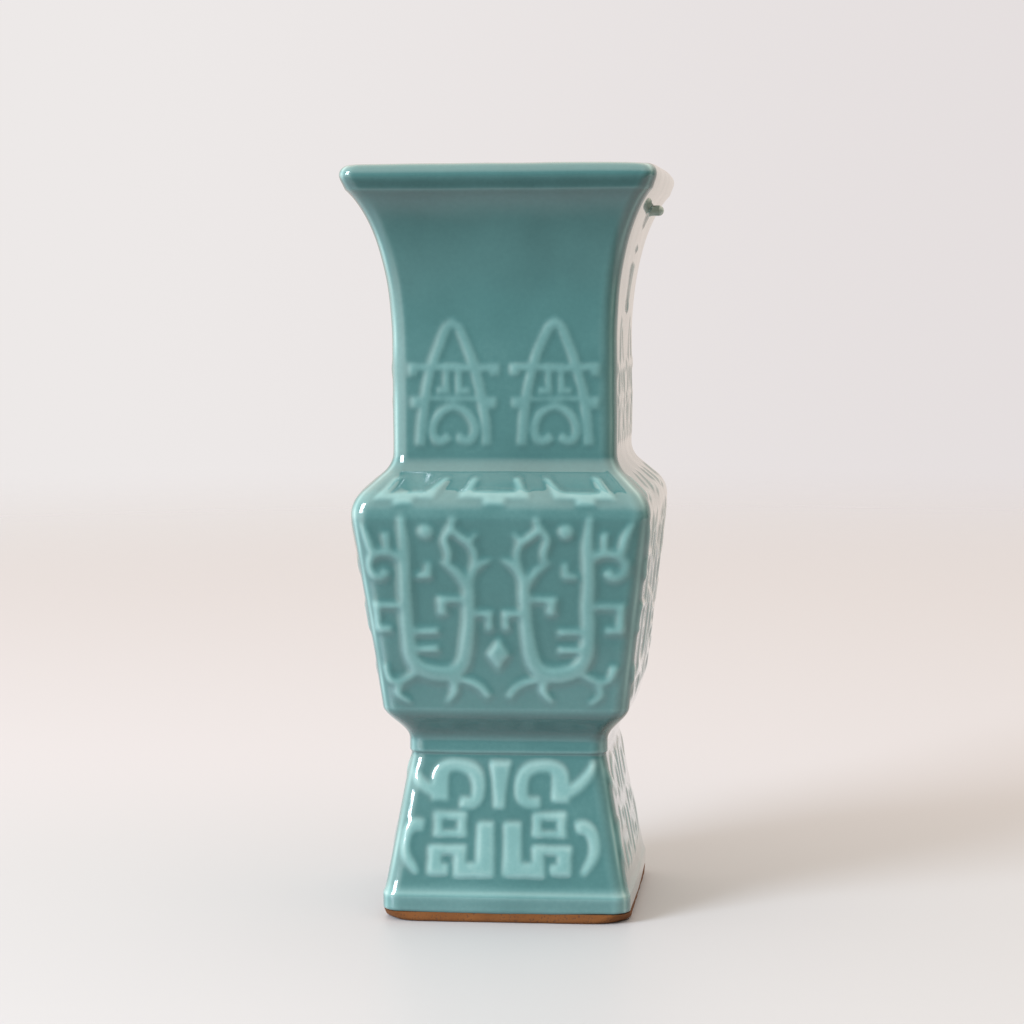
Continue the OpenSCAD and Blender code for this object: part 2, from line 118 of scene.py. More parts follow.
class Clay:
    """One closed piece while it is built: smooth skins first, then the flat joints between them."""

    def __init__(self):
        self.points, self.normals, self.skins, self.joints = [], [], [], []
        self.count = 0
        self.pool, self.depth = [], 0.6  # how deep the glaze lies on the outer skin, with painted shade in it, and on the rest

    def lay(self, grid, normals, inside=False, wrapped=False):
        """Adds rows of points as a smooth skin. Returns the number of each point."""
        number = self.count + np.arange(grid.shape[0] * grid.shape[1]).reshape(grid.shape[:2])
        self.count += number.size
        self.points.append(grid.reshape(-1, 3))
        self.normals.append((-normals if inside else normals).reshape(-1, 3))
        if wrapped:
            number = np.hstack([number, number[:, :1]])
        quads = np.stack([number[:-1, :-1], number[:-1, 1:], number[1:, 1:], number[1:, :-1]], -1)
        quads = quads.reshape(-1, 4)
        self.skins += (quads[:, ::-1] if inside else quads).tolist()
        return number

    def join(self, outer, inner):
        """Fills between two edges that run the same way, with the clay's outside on their left."""
        i, j, last_i, last_j = 0, 0, len(outer) - 1, len(inner) - 1
        while i < last_i or j < last_j:
            if j == last_j or (i < last_i and (i + 1) * last_j <= (j + 1) * last_i):
                self.joints.append([int(outer[i + 1]), int(outer[i]), int(inner[j])])
                i += 1
            else:
                self.joints.append([int(inner[j]), int(inner[j + 1]), int(outer[i])])
                j += 1

    def fire(self, name, finish):
        """Makes the mesh object and lets it ride on the vase."""
        mesh = bpy.data.meshes.new(name)
        mesh.from_pydata(np.concatenate(self.points), [], self.skins + self.joints)
        mesh.polygons.foreach_set("use_smooth", [True] * len(mesh.polygons))
        mesh.materials.append(finish)
        piece = bpy.data.objects.new(name, mesh)
        bpy.context.scene.collection.objects.link(piece)
        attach(piece, "root")
        self.piece, self.normals = piece, np.concatenate(self.normals)
        return piece

    def set_normals(self):
        """Smooth skins take the normals of the whole vase, and joints stay flat."""
        mesh = self.piece.data
        corners = np.empty(len(mesh.loops), int)
        mesh.loops.foreach_get("vertex_index", corners)
        flat = np.empty(len(mesh.polygons) * 3)
        mesh.polygons.foreach_get("normal", flat)
        sizes = np.empty(len(mesh.polygons), int)
        mesh.polygons.foreach_get("loop_total", sizes)
        of_face = np.repeat(flat.reshape(-1, 3), sizes, axis=0)
        smooth_corners = sizes[: len(self.skins)].sum()
        of_face[:smooth_corners] = self.normals[corners[:smooth_corners]]
        mesh.normals_split_custom_set(of_face)


class Wire:
    """A value inside a finish, which takes part in sums."""

    def __init__(self, finish, socket):
        self.finish, self.socket = finish, socket

    def sum(self, operation, a, b):
        return self.finish.add("Math", {"operation": operation}, {0: a, 1: b})

    def __add__(self, other):
        return self.sum("ADD", self, other)

    def __sub__(self, other):
        return self.sum("SUBTRACT", self, other)

    def __rsub__(self, other):
        return self.sum("SUBTRACT", other, self)

    def __mul__(self, other):
        return self.sum("MULTIPLY", self, other)

    __radd__, __rmul__ = __add__, __mul__


class Finish:
    """A material while it is made: its surface and what changes over it. The room is made the same way."""

    def __init__(self, material, surface="Principled BSDF"):
        self.material = material
        self.material.use_nodes = True
        self.nodes = self.material.node_tree.nodes
        self.surface = self.nodes[surface]

    def add(self, kind, settings, sockets, output=0):
        """Adds a node: its settings go in first, then the values or wires of its sockets."""
        node = self.nodes.new("ShaderNode" + kind)
        for name, value in settings.items():
            if name == "stops":
                while len(node.color_ramp.elements) < len(value):
                    node.color_ramp.elements.new(1)
                for stop, (place, colour) in zip(node.color_ramp.elements, value):
                    stop.position, stop.color = place, colour
            else:
                setattr(node, name, value)
        for name, value in sockets.items():
            self.put(node, name, value)
        return Wire(self, node.outputs[output])

    def put(self, node, name, value):
        if isinstance(value, Wire):
            self.material.node_tree.links.new(value.socket, node.inputs[name])
        else:
            node.inputs[name].default_value = value

    def noise(self, size, detail=2.0):
        """Noise from 0 to 1 with patches of about that size."""
        place = self.add("TexCoord", {}, {}, "Object")
        return self.add("TexNoise", {}, {"Vector": place, "Scale": 1 / size, "Detail": detail})

    def blend(self, share, a, b):
        """Colour a where share is 0 and b where it is 1."""
        return self.add("Mix", {"data_type": "RGBA"}, {0: share, 6: a, 7: b}, 2)

    def ramp(self, value, stops):
        return self.add("ValToRGB", {"stops": stops}, {0: value})

    def bump(self, height, depth):
        return self.add("Bump", {}, {"Height": height, "Distance": depth, "Strength": 1.0})

    def dress(self, **looks):
        """Puts values or wires on the surface, named as its sockets are, with _ for a space."""
        for name, value in looks.items():
            self.put(self.surface, name.replace("_", " "), value)
        return self.material


def colour(red, green, blue):
    """A colour given on the 0 to 255 scale of a paint chart."""
    parts = [c / 255 for c in (red, green, blue)]
    return (*[p / 12.92 if p <= 0.04045 else ((p + 0.055) / 1.055) ** 2.4 for p in parts], 1)


def bare_clay():
    finish = Finish(bpy.data.materials.new("bare_clay"))
    grit = finish.noise(0.5 * mm, 3)
    patches = finish.noise(7 * mm, 2)
    brown = finish.blend(patches, colour(126, 79, 36), colour(96, 55, 24))
    speckled = finish.blend(finish.ramp(grit, [(0.3, (1, 1, 1, 1)), (0.42, (0, 0, 0, 1))]), brown,
        colour(78, 48, 30))
    return finish.dress(Base_Color=speckled, Roughness=0.62 + 0.3 * grit, Normal=finish.bump(grit, 0.12 * mm),
        Specular_IOR_Level=0.3)


ring_t = 4.6 * mm
ring_edge = 0.9 * mm
ring_uneven, ring_patch = 0.05 * mm, 5 * mm  # how uneven the wiped clay is, and over what length
ring_out, ring_top = half_width("foot_ring"), top("foot_ring")
corner = 4.2 * mm  # the upright corners under their coat of glaze
ring_low_corner = 2.2 * corner  # worn rounder where the ring stands
clay_finish = bare_clay()
fired = []  # every piece, for the normals at the end
courses = []  # each course from the ground up: its outer skin, how pale it is, and the pieces cut from it
joint_rows = 5  # over about how many rows a course comes in to the one below


def meet(skin):
    """Brings the lowest rows of a course to where the one below ends, so the glaze runs on over the joint."""
    gap = courses[-1][0][-1] - skin[0]
    skin += gap * np.exp(-np.arange(len(skin)) / joint_rows)[:, None, None]


def ring_piece(name, skin, inside, finish):
    """A course made as one piece: its outer skin, its inside and the joints above and below."""
    clay = Clay()
    outer = clay.lay(skin, outward(skin), wrapped=True)
    if inside is None:
        clay.join(outer[0], outer[-1])
    else:
        inner = clay.lay(inside, outward(inside), inside=True, wrapped=True)
        clay.join(outer[0], inner[0])
        clay.join(outer[-1, ::-1], inner[-1, ::-1])
    clay.fire(name, finish)
    fired.append(clay)
    return clay


ring_rows = even_rows([[ring_out - ring_t + ring_edge, 0], [ring_out - ring_edge, 0],
    *arc([ring_out - ring_edge, ring_edge], ring_edge, -80, 0, 8), [ring_out, ring_top]], 0.3 * mm)
ring_corner = np.interp(ring_rows[1], [0, ring_top], [ring_low_corner, corner])[:, None]
ring_skin = round_the_vase(ring_rows, ring_corner, FINE)[0]
ring_skin += outward(ring_skin) * (ring_uneven * wobble(ring_skin, ring_patch, 3))[..., None]
ring_skin[..., 2] = np.maximum(ring_skin[..., 2], 0)
ring_inside = round_the_vase(
    ([ring_out - ring_t] * 3, [ring_edge, ring_top / 2, ring_top]), corner, COARSE)[0]
foot_ring = ring_piece("foot_ring_clay", ring_skin, ring_inside, clay_finish)
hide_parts("foot_ring")


# ---- The plinth ----
# A square moulding of the same clay luted on the foot ring. Its top edge is rounded over with a wet
# sponge where it meets the foot walls, and the glaze begins here in a slightly thicker, uneven roll.

wall = 4 * mm


def celadon():
    """Clear teal glaze over pale clay: pale where it runs thin over an edge, deep where it pools, and darker
    where painted shade is given in its attribute.
    """
    finish = Finish(bpy.data.materials.new("celadon_glaze"))
    pool = finish.add("Attribute", {"attribute_name": "pool"}, {}, "Fac")
    cloud = finish.noise(16 * mm, 2)
    fleck = finish.noise(1.1 * mm, 3)
    depth = pool + 0.14 * (cloud - 0.5) + 0.06 * (fleck - 0.5)
    tint = finish.ramp(depth, [(0.0, colour(204, 210, 190)), (0.12, colour(158, 190, 186)),
        (0.35, colour(112, 155, 154)), (0.62, colour(71, 115, 115)), (0.85, colour(44, 84, 85))])
    ripple = finish.noise(9 * mm, 1)
    peel = finish.noise(1.6 * mm, 2)
    return finish.dress(Base_Color=tint, Roughness=0.07 + 0.05 * cloud, IOR=1.52, Coat_Weight=1.0,
        Coat_Roughness=0.02, Normal=finish.bump(ripple + 0.06 * peel, 0.12 * mm))


glaze_finish = celadon()
crown = 0.25 * mm  # slabs dry with their faces very slightly full
bow, bow_length = 0.13 * mm, 46 * mm  # they warp a little over their length
dent, dent_length = 0.03 * mm, 13 * mm  # and keep some marks of the hands that luted them
arris_clear = 2 * mm  # ornament dies away this close to an arris
pale_reach = 1.3  # above 1, so that the pale glaze runs nearly out to a sprig's edge


def to_arris(ring):
    """How far each point of a ring is from the nearest upright corner."""
    per_face = ring.shape[1] // 4
    left = np.repeat(ring[:, ::per_face], per_face, axis=1)
    right = np.roll(left, -per_face, axis=1)
    return np.minimum(np.linalg.norm(ring - left, axis=-1), np.linalg.norm(ring - right, axis=-1))


def glazed_skin(rows, corner, *ornaments, columns=FINE):
    """The outer surface of a course, with the unevenness of hand work and its ornaments, each given by
    where it stands, how high, and how pale it makes the glaze. Also returns that paleness."""
    plain, along = round_the_vase(rows, corner, columns)
    clear = np.clip(to_arris(plain) / arris_clear, 0, 1)
    ornament, pale = np.zeros(along.shape), np.zeros(along.shape)
    for raised, relief, paleness in ornaments:
        share = raised(plain, along) * clear
        ornament = np.maximum(ornament, share * relief)
        pale = np.maximum(pale, np.minimum(pale_reach * share, 1) * paleness)
    half = np.abs(along).max(1, keepdims=True)
    height = bow * wobble(plain, bow_length, 11) + dent * wobble(plain, dent_length, 12)
    height = height + ornament + crown * (1 - (along / half) ** 2) - crown / 2
    return plain + outward(plain) * height[..., None], pale


plinth_out, plinth_top = half_width("plinth_moulding"), top("plinth_moulding")
foot_out = half_width("foot_wall_front")
foot_top, foot_top_out = top("foot_wall_front"), -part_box("foot_wall_front")[1].y + wall
foot_lean = (foot_out - foot_top_out) / (foot_top - plinth_top)
plinth_turn, plinth_turn_low = 1.7 * mm, 3.8 * mm
glaze_roll = 0.5 * mm
plinth_neck = 0.4 * mm  # the last of the moulding, in line with the foot walls
rubbed_pale, rubbed_up, rubbed_w = 0.2, 1 * mm, 1.1 * mm  # the glaze is thin where the edge turns in


def sponged(path, pitch, times):
    """Rows along a path whose edges are sponged round. Its two ends stay."""
    out, up = even_rows(path, pitch)
    for _ in range(times):
        out[1:-1] = (out[:-2] + 2 * out[1:-1] + out[2:]) / 4
        up[1:-1] = (up[:-2] + 2 * up[1:-1] + up[2:]) / 4
    return out, up


plinth_mid = [plinth_out - plinth_turn, ring_top + plinth_turn_low]
plinth_arc = [p for p in arc(plinth_mid, plinth_turn, 0, 60, 16)
    if p[0] > foot_out + foot_lean * (plinth_top - p[1])]
plinth_path = [*arc([plinth_out - glaze_roll, ring_top + glaze_roll], glaze_roll, -85, 0, 8), *plinth_arc,
    [foot_out + plinth_neck * foot_lean, plinth_top - plinth_neck], [foot_out, plinth_top]]
plinth_skin, plinth_plain = glazed_skin(sponged(plinth_path, 0.24 * mm, 3), corner)
past_turn = plinth_skin[..., 2] - ring_top - plinth_turn_low - rubbed_up
plinth_plain += rubbed_pale * np.exp(-(past_turn / rubbed_w) ** 2)
plinth_inside = round_the_vase(([plinth_out - ring_t] * 2 + [foot_out - wall],
    [ring_top, plinth_top - wall, plinth_top]), corner, COARSE)[0]
plinth = ring_piece("plinth", plinth_skin, plinth_inside, glaze_finish)
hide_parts("plinth_moulding")
courses.append((plinth_skin, plinth_plain, [(plinth, None)]))


# ---- The foot walls and their ornament ----
# Four flat slabs that lean in as they rise, bevelled and luted at the corners. The ornament of hooks,
# key frets and crescents is pressed from thin clay and luted on, and the glaze softens all its edges.

FACES = {"front": 0, "right": 1, "back": 2, "left": 3}
row_pitch = 0.28 * mm
stray, stray_length = 0.12, 9 * mm  # no two sprigs are pressed quite alike: how far their edges stray in mm,
uneven_share, uneven_length = 0.16, 10 * mm  # and by what share their height differs


def smooth_run(points, count=4):
    """A smooth run through points of [x, up, width]."""
    p = np.array(points, float)
    a, b, c, d = p[[0, *range(len(p) - 2)]], p[:-1], p[1:], p[[*range(2, len(p)), -1]]
    found = []
    for i in range(len(p) - 1):
        for t in np.arange(count) / count:
            found.append((2 * b[i] + (c[i] - a[i]) * t + (2 * a[i] - 5 * b[i] + 4 * c[i] - d[i]) * t * t
                + (3 * b[i] - a[i] - 3 * c[i] + d[i]) * t ** 3) / 2)
    return np.array(found + [p[-1]])


def strip(points):
    """The outline of a strip of clay laid along points of [x, up, width]."""
    p = smooth_run(points)
    way = np.gradient(p[:, :2], axis=0)
    side = np.stack([-way[:, 1], way[:, 0]], -1) / np.linalg.norm(way, axis=1, keepdims=True)
    half = side * p[:, 2:] / 2
    return np.vstack([p[:, :2] + half, (p[:, :2] - half)[::-1]])


def block(x0, z0, x1, z1):
    return np.array([[x0, z0], [x1, z0], [x1, z1], [x0, z1]], float)


def outside_of(outline, x, z):
    """How far outside an outline each point is, less than nothing inside it."""
    nearest = np.full(x.shape, np.inf)
    within = np.zeros(x.shape, bool)
    for a, b in zip(outline, np.roll(outline, -1, 0)):
        run = b - a
        if run @ run == 0:
            continue
        share = np.clip(((x - a[0]) * run[0] + (z - a[1]) * run[1]) / (run @ run), 0, 1)
        nearest = np.minimum(nearest, np.hypot(x - a[0] - share * run[0], z - a[1] - share * run[1]))
        crossed = (a[1] > z) != (b[1] > z)
        if run[1]:
            within ^= crossed & (x < a[0] + (z - a[1]) / run[1] * run[0])
    return np.where(within, -nearest, nearest)


def sprig_share(outlines, x, z, slope):
    """Where luted sprigs stand on a face, from 0 to 1, in the outlines' own millimetres. They run softly
    together, and their edges slope from a little outside their outline to further inside it."""
    margin, soft, spread = 2.5, 0.5, 0.4
    away = np.full(x.shape, margin)
    for outline in outlines:
        low, high = outline.min(0) - margin, outline.max(0) + margin
        near = (x > low[0]) & (x < high[0]) & (z > low[1]) & (z < high[1])
        if not near.any():
            continue
        new = outside_of(outline, x[near], z[near])
        share = np.clip(0.5 + 0.5 * (new - away[near]) / soft, 0, 1)
        away[near] = new + (away[near] - new) * share - soft * share * (1 - share)
    rise = np.clip(spread - away / slope, 0, 1)
    return rise * rise * (3 - 2 * rise)


def soften(field, times):
    """Spreads a field of rows right round the vase into its neighbours."""
    for _ in range(times):
        field = (np.roll(field, 1, 1) + 2 * field + np.roll(field, -1, 1)) / 4
        padded = np.concatenate([field[:1], field, field[-1:]])
        field = (padded[:-2] + 2 * padded[1:-1] + padded[2:]) / 4
    return field


def both_sides(outlines, shift):
    """Outlines and their mirror images, about a middle that is off the face's own by a shift."""
    return [np.array(o) * [side, 1] + [shift, 0] for o in outlines for side in (1, -1)]


def sprigs(outlines, floor, slope, rubbed, seed, faces=range(4)):
    """The ornament on some faces, from 0 to 1 over a whole course, its edges rubbed down a number of times.
    Each face is a little different."""
    def raised(plain, along):
        share = np.zeros(along.shape)
        per_face = along.shape[1] // 4
        for face in faces:
            part = slice(face * per_face, (face + 1) * per_face)
            points = plain[:, part]
            x = along[:, part] / mm + stray * wobble(points, stray_length, seed + face)
            z = (points[..., 2] - floor) / mm + stray * wobble(points, stray_length, seed + 10 + face)
            uneven = 1 + uneven_share * wobble(points, uneven_length, seed + 20 + face)
            share[:, part] = sprig_share(outlines, x, z, slope) * uneven
        return soften(share, rubbed)
    return raised


def sprig_nodes(start):
    """The frame's nodes of ornament for one part of the vase."""
    return sorted(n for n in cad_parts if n.startswith(start) and n.endswith("sprigs"))


def course_of_slabs(nodes, skin_and_pale, inside, sprigs_of):
    """Four slabs of one course, cut at the mitred corners, each standing for its part and its sprigs."""
    skin, pale = skin_and_pale
    meet(skin)
    per_face, inside_per_face = skin.shape[1] // 4, inside.shape[1] // 4
    skin_normals, inside_normals = outward(skin), outward(inside)
    cut = []
    for side, face in FACES.items():
        columns = np.arange(face * per_face, (face + 1) * per_face + 1) % skin.shape[1]
        inner = np.arange(face * inside_per_face, (face + 1) * inside_per_face + 1) % inside.shape[1]
        clay = Clay()
        a = clay.lay(skin[:, columns], skin_normals[:, columns])
        b = clay.lay(inside[:, inner], inside_normals[:, inner], inside=True)
        clay.join(a[0], b[0])
        clay.join(a[:, -1], b[:, -1])
        clay.join(a[-1, ::-1], b[-1, ::-1])
        clay.join(a[::-1, 0], b[::-1, 0])
        piece = clay.fire(nodes + "_glazed_" + side, glaze_finish)
        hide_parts(nodes + "_" + side, *sprigs_of(side))
        fired.append(clay)
        cut.append((clay, columns))
    courses.append((skin, pale, cut))


foot_shift = -1.4  # the ornament was luted on a little off the middle, and outlines are in mm
post = [[1.35, 17], [1.45, 20], [1.8, 23.5], [2.8, 28], [-2.8, 28], [-1.8, 23.5], [-1.45, 20], [-1.35, 17]]
hook = [[9.7, 18.4, 2.5], [6.7, 18.3, 2.6], [5.3, 19.8, 3], [5.3, 23.5, 3.2], [6.8, 26, 3],
    [9.8, 26.9, 2.7], [12.6, 26.6, 3], [14.3, 24.8, 3.9], [14.5, 21.5, 4.1], [14.5, 18.6, 4.1]]
tail = [[14.6, 20.3, 3], [17.4, 21.5, 2.5], [20.2, 23.8, 2.3], [21.8, 26, 2], [22.5, 28.2, 0.8]]
square = [block(7.9, 10.3, 10, 16.1), block(13.9, 10.3, 15.9, 16.1),
    block(7.9, 10.3, 15.9, 11.6), block(7.9, 14.4, 15.9, 16.1)]
fret = [block(1.1, 1.1, 5.3, 13.8), block(1.1, 1.1, 10.8, 4.2), block(7.9, 1.1, 10.8, 8.2),
    block(7.9, 6.3, 17.2, 8.2), block(13.9, 1.6, 17.2, 8.2), block(12.1, 1.6, 17.2, 3.9)]
crescent = [[18.2, 12.6, 2.6], [20.4, 12.8, 2.9], [22.3, 11.2, 2.8], [23, 8.2, 2.6], [22.3, 5.2, 2.3],
    [20.9, 3, 1.8], [19.8, 1.6, 0.8]]
foot_outlines = [np.array(post) + [foot_shift, 0]] + both_sides(
    [strip(hook), strip(tail), *square, *fret, strip(crescent)], foot_shift)

foot_skin = glazed_skin(even_rows([[foot_out, plinth_top], [foot_top_out, foot_top]], row_pitch), corner,
    (sprigs(foot_outlines, plinth_top, 0.9, 7, 100), 0.34 * mm, 0.25))
foot_inside = round_the_vase(even_rows([[foot_out - wall, plinth_top], [foot_top_out - wall, foot_top]],
    3 * mm), 1 * mm, COARSE)[0]
course_of_slabs("foot_wall", foot_skin, foot_inside, lambda side: sprig_nodes("foot"))


# ---- The floor plate ----
# A thick square plate that closes the bottom of the vessel. Its edge shows as the plain waist band, with
# a groove scored under it where the foot is luted on, and the glaze lies dark in that groove.


def dish(clay, edge, rows, inside):
    """A floor or ceiling that runs from an edge of the piece in to the middle."""
    rings = round_the_vase(rows, (corner * rows[0] / rows[0][0])[:, None], COARSE)[0]
    number = clay.lay(rings, outward(rings), wrapped=True, inside=inside)
    if inside:
        clay.join(edge, number[0])
        clay.joints.append(number[-1, :-1][::-1].tolist())
    else:
        clay.join(edge[::-1], number[0, ::-1])
        clay.joints.append(number[-1, :-1].tolist())


groove_h, groove_d, band_edge = 0.9 * mm, 0.4 * mm, 0.4 * mm
plate_out, plate_low, plate_top = half_width("floor_plate"), bottom("floor_plate"), top("floor_plate")
plate_path = [[plate_out - groove_d, plate_low], [plate_out - groove_d, plate_low + groove_h - band_edge],
    *arc([plate_out - band_edge, plate_low + groove_h + band_edge], band_edge, -90, 0, 8),
    [plate_out, plate_top]]
plate_skin, plate_plain = glazed_skin(sponged(plate_path, 0.2 * mm, 2), corner)
meet(plate_skin)
plate = Clay()
plate_edge = plate.lay(plate_skin, outward(plate_skin), wrapped=True)
shrink = np.array([0.97, 0.8, 0.6, 0.4, 0.2, 0.05])
dish(plate, plate_edge[0], (plate_out * shrink, plate_low + 0 * shrink), True)
dish(plate, plate_edge[-1], (plate_out * shrink, plate_top + 0 * shrink), False)
plate.fire("floor_plate_glazed", glaze_finish)
fired.append(plate)
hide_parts("floor_plate")
courses.append((plate_skin, plate_plain, [(plate, None)]))


# ---- The underside of the belly ----
# Four slabs bent over a form so that the vessel swells from the waist band out to the belly walls.

under_top = top("belly_underside_front")
belly_out = half_width("belly_underside_front")
underside_lag = 1.5 * mm
swell = [[plate_out + (belly_out - plate_out) * t * t * (3 - 2 * t), t] for t in np.linspace(0, 1, 40)]
under_skin = glazed_skin(even_rows([[x, plate_top + (under_top - plate_top) * t] for x, t in swell],
    row_pitch), corner)
under_inside = round_the_vase(even_rows([[x - wall, plate_top + underside_lag * min(1, 4 * t) +
    (under_top - plate_top - underside_lag) * t] for x, t in swell], 1 * mm), 2 * mm, COARSE)[0]
course_of_slabs("belly_underside", under_skin, under_inside, lambda side: [])


# ---- The belly walls and their ornament ----
# Four flat slabs that lean out as they rise. Each face carries a facing pair of U-shaped dragon bodies
# with forked horns, curled crests and claws, a diamond between them, and dots and ticks above.

belly_top, belly_top_out = top("belly_wall_front"), half_width("belly_wall_front")
belly_shift = -0.8
body = [[22.2, 46, 0.8], [21.9, 43, 2], [21.7, 38, 3.1], [21.6, 28, 3.3], [21.3, 18, 3.4],
    [20.7, 12.5, 3.6], [18.6, 9.3, 3.8], [14.5, 8, 4], [10.8, 8.4, 3.9], [8.5, 10.6, 3.7],
    [7.5, 14.5, 3.5], [6.9, 20, 3.3], [6.7, 26, 3.1], [6.7, 30, 2.8]]
horns = [
    [[6.7, 29.5, 2.4], [5.4, 33, 2.2], [3.4, 34.9, 1.7], [1.2, 35.8, 0.5]],
    [[6.9, 29, 2.2], [8.6, 31.9, 2.2], [11, 33.9, 1.6], [13.2, 35.1, 0.5]],
    [[5.6, 33.3, 1.7], [5, 36.6, 1.6], [6.1, 39.6, 1.7], [8.6, 41.4, 1.6], [10.6, 43.1, 1.6]],
    [[11.6, 34.6, 1.5], [11.3, 37.4, 1.7], [12.1, 40.6, 1.7], [10.6, 43.1, 1.7], [9.3, 45.8, 0.6]],
    [[6.3, 39.6, 1.5], [4.4, 41.9, 0.6]]]
crest = [
    [[22, 35.6, 2.4], [24.6, 37, 2], [28.4, 36.9, 2.1], [30.3, 34.6, 2.2], [29.4, 32.1, 2.2],
        [27.2, 31.6, 2.2], [26, 33.2, 2.4]],
    [[25.6, 37, 1.7], [25.8, 42.2, 1.6]],
    [[29.2, 36.4, 2], [30.4, 40.6, 1.9], [32.2, 44.4, 0.7]]]
claws = [
    [[10, 6.9, 1.8], [7, 6.2, 1.8], [4.2, 4.8, 1.8], [2.3, 2.4, 1.6]],
    [[11, 6.8, 2.3], [10.6, 3.9, 2], [12.6, 1.2, 0.8]],
    [[19.2, 8.8, 2.2], [21.4, 7.2, 1.8], [23.8, 6.2, 1.6], [26.2, 6.8, 1.6], [27.5, 10.2, 1.8]],
    [[23.4, 5.8, 1.8], [24.2, 3.2, 1.7], [21.3, 1, 0.7]]]
square_hooks = [
    block(21, 23.8, 30, 25.2), block(28, 18.2, 30, 25.2), block(25.3, 18.2, 30, 19.8),
    block(7, 25.3, 14.1, 26.8), block(11.8, 22.4, 14.1, 26.8),
    block(1.1, 22, 6.5, 23.5), block(1.1, 18.7, 2.7, 23.5),
    block(14.2, 17.6, 21, 19.2), block(14.1, 13.3, 21, 15)]
tick = [[15.6, 35], [16.6, 35], [17, 32.6], [19.3, 32], [19, 31], [15.4, 31]]
diamond = [[0, 17], [2.75, 12.9], [0, 8.7], [-2.75, 12.9]]
dot = [[16.5 + 1.85 * math.cos(a), 42.4 + 1.85 * math.sin(a)] for a in np.radians(range(0, 360, 20))]
belly_outlines = [np.array(diamond) + [belly_shift, 0]] + both_sides(
    [strip(c) for c in [body, *horns, *crest, *claws]] + square_hooks + [tick, dot], belly_shift)
belly_ornament = (sprigs(belly_outlines, under_top, 1.2, 8, 200), 0.55 * mm, 0.15)

belly_skin = glazed_skin(even_rows([[belly_out, under_top], [belly_top_out, belly_top]], row_pitch), corner,
    belly_ornament)
belly_inside = round_the_vase(even_rows([[belly_out - wall, under_top], [belly_top_out - wall, belly_top]],
    3 * mm), 2.5 * mm, COARSE)[0]
course_of_slabs("belly_wall", belly_skin, belly_inside, lambda side: sprig_nodes("belly"))


# ---- The shoulders ----
# Four slabs bent over from the belly to the neck, with three low open brackets on each. A finger run
# round the joint leaves the cove at the foot of the neck.

shoulder_slope, shoulder_r, collar_r = 47, 8 * mm, 6 * mm
neck_out = -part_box("neck_wall_front")[1].y + wall
neck_low = bottom("neck_wall_front")
belly_lean = math.degrees(math.atan((belly_top_out - belly_out) / (belly_top - under_top)))
turn_mid = [belly_top_out - shoulder_r * math.cos(math.radians(belly_lean)),
    belly_top + shoulder_r * math.sin(math.radians(belly_lean))]
cove_mid = [neck_out + collar_r, neck_low]
shoulder_shift = -1.2
middle_bracket = [
    block(-2, 5, 8.1, 6.4),
    [[5.2, 5.6], [8.1, 5], [5.5, 9.4], [4, 9.4]],
    block(-2, 3.6, 2.5, 5.8)]
outer_bracket = [
    [[14.3, 5], [28.3, 5], [27.2, 6.4], [13.6, 6.4]],
    [[14.3, 5], [16.9, 5.6], [12.3, 9.5], [11.1, 9.5]],
    [[25.3, 5.6], [28.3, 5], [24.2, 9.7], [22.5, 9.7]],
    block(19.2, 3.6, 23.7, 5.8)]
brackets = sprigs(both_sides(middle_bracket + outer_bracket, shoulder_shift), belly_top, 0.9, 5, 300)

shoulder_skin = glazed_skin(
    even_rows(arc(turn_mid, shoulder_r, -belly_lean, shoulder_slope) +
        arc(cove_mid, collar_r, 180 + shoulder_slope, 180), row_pitch), corner,
    belly_ornament, (brackets, 0.35 * mm, 0.16))
shoulder_inside = round_the_vase(
    even_rows([[belly_top_out - wall, belly_top]] +
        arc(turn_mid, shoulder_r - wall, -belly_lean, shoulder_slope) +
        arc(cove_mid, collar_r + wall, 180 + shoulder_slope, 180), 1.5 * mm), 2.5 * mm, COARSE)[0]
course_of_slabs("shoulder", shoulder_skin, shoulder_inside, lambda side: sprig_nodes("shoulder"))


# ---- The neck walls and their ornament ----
# Four tall slabs, upright at first and then flaring out to the mouth. Two plantain leaves with lotus
# hearts stand on each face, and the side faces also carry a narrow pendant of drop, bead and leaf.

neck_h, flare_h, flare_out, flare_turn = 25.8 * mm, 38 * mm, 13.5 * mm, 71
flare_low = neck_low + neck_h
neck_shift, leaf_pitch = 0.5, 24.1
leaf_relief = 0.28 * mm


def flare(degrees, deep=0.0):
    """A point [out, up] on the flare, or deep inside it along the way square to its surface."""
    a = math.radians(degrees)
    inward = np.array([-flare_h * math.cos(a), flare_out * math.sin(a)])
    on = np.array([neck_out + flare_out * (1 - math.cos(a)), flare_low + flare_h * math.sin(a)])
    return on + deep * inward / np.linalg.norm(inward)


leaf = [[8, 1.8, 2.5], [7.6, 7, 2.5], [6.8, 12.8, 2.5], [5.8, 17.8, 2.5], [4.3, 22.8, 2.4],
    [2.5, 27.4, 2.4], [1.1, 30, 2.3], [-0.7, 30.8, 2.2]]
petal = [[0.9, 4.2, 2.2], [2.6, 3, 2.3], [4.5, 3.6, 2.3], [5.1, 6, 2.2], [4, 8.8, 2.1],
    [2, 10.5, 1.8], [-0.4, 11.3, 1.6]]
leaf_parts = [strip(leaf), strip(petal),
    block(-2, 19.3, 10.8, 21.1), block(8.6, 18.2, 10.8, 21.1),
    block(-2, 12.4, 7, 13.4), block(6, 11.7, 10.2, 13.3), block(8, 10.6, 10.2, 13.3),
    block(0.65, 14.1, 2.15, 20), block(0.65, 14.1, 3.9, 15.6)]
leaves = [part for way in (-1, 1) for part in both_sides(leaf_parts, neck_shift + way * leaf_pitch / 2)]
